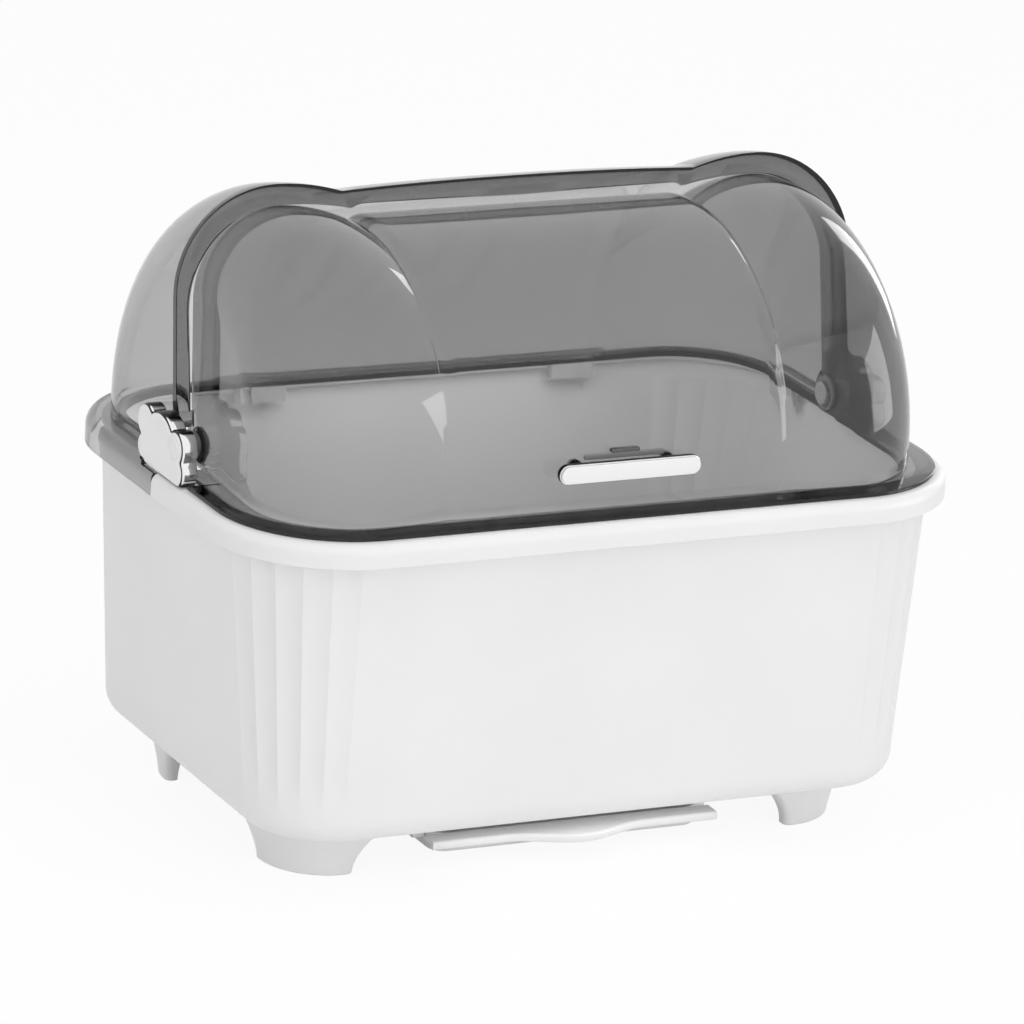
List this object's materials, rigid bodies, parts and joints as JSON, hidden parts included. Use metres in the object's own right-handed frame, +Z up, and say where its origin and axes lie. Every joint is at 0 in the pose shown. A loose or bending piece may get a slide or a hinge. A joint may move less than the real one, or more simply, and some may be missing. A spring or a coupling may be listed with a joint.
{
  "type": "covered dish drainer",
  "caption": "White dish drainer tub on feet with a smoked clear cover: a fixed rear part and a front part with a bar handle that swings up and back. A drip tray pulls out below.",
  "frame": {"origin": "middle of the footprint, on the surface that the feet stand on", "axes": "+X to the right along the long side, -Y to the front where the handle is, +Z up"},
  "size_m": [0.43, 0.29, 0.3473],
  "materials": {
    "white_plastic": "satin white moulded plastic",
    "white_gloss_plastic": "gloss white",
    "smoke_light": "clear plastic with a light smoke tint",
    "smoke": "clear plastic with a smoke tint",
    "chrome": "chromed plastic",
    "steel": "plain steel",
    "grey_nylon": "matt grey"
  },
  "bodies": {
    "base": {"tub": "white_plastic", "rim_band": "white_plastic", "foot_front_left": "white_plastic", "foot_front_right": "white_plastic", "foot_rear_left": "white_plastic", "foot_rear_right": "white_plastic", "tray_rail_left": "white_plastic", "tray_rail_right": "white_plastic"},
    "drain_plate": {"drain_plate": "grey_nylon"},
    "drip_tray": {"drip_tray": "white_plastic"},
    "cover_unit": {"rear_cover": "smoke_light", "cover_clip_rear_left": "grey_nylon", "cover_clip_rear_right": "grey_nylon", "cover_clip_side_left": "grey_nylon", "cover_clip_side_right": "grey_nylon", "hinge_cap_left": "chrome", "hinge_cap_right": "chrome", "hinge_cap_face_left": "white_gloss_plastic", "hinge_cap_face_right": "white_gloss_plastic", "hinge_pin_left": "steel", "hinge_pin_right": "steel", "hinge_bush_left": "grey_nylon", "hinge_bush_right": "grey_nylon", "hinge_washer_left": "grey_nylon", "hinge_washer_right": "grey_nylon"},
    "front_cover": {"front_cover": "smoke", "handle_body": "chrome", "handle_face": "white_gloss_plastic", "handle_post_left": "chrome", "handle_post_right": "chrome", "handle_bridge": "chrome", "handle_screw_left": "steel", "handle_screw_right": "steel"}
  },
  "joints": [
    {"name": "front_cover_swing", "type": "hinge", "parent": "cover_unit", "child": "front_cover", "pos_m": [0, -0.003, 0.2135], "axis": [-1, 0, 0], "range_deg": [0, 80]},
    {"name": "cover_lift", "type": "slide", "parent": "base", "child": "cover_unit", "axis": [0, 0, 1], "range_m": [0, 0.2]},
    {"name": "drip_tray_slide", "type": "slide", "parent": "base", "child": "drip_tray", "axis": [0, -1, 0], "range_m": [0, 0.17]},
    {"name": "drain_plate_lift", "type": "slide", "parent": "base", "child": "drain_plate", "axis": [0, 0, 1], "range_m": [0, 0.125]}
  ]
}
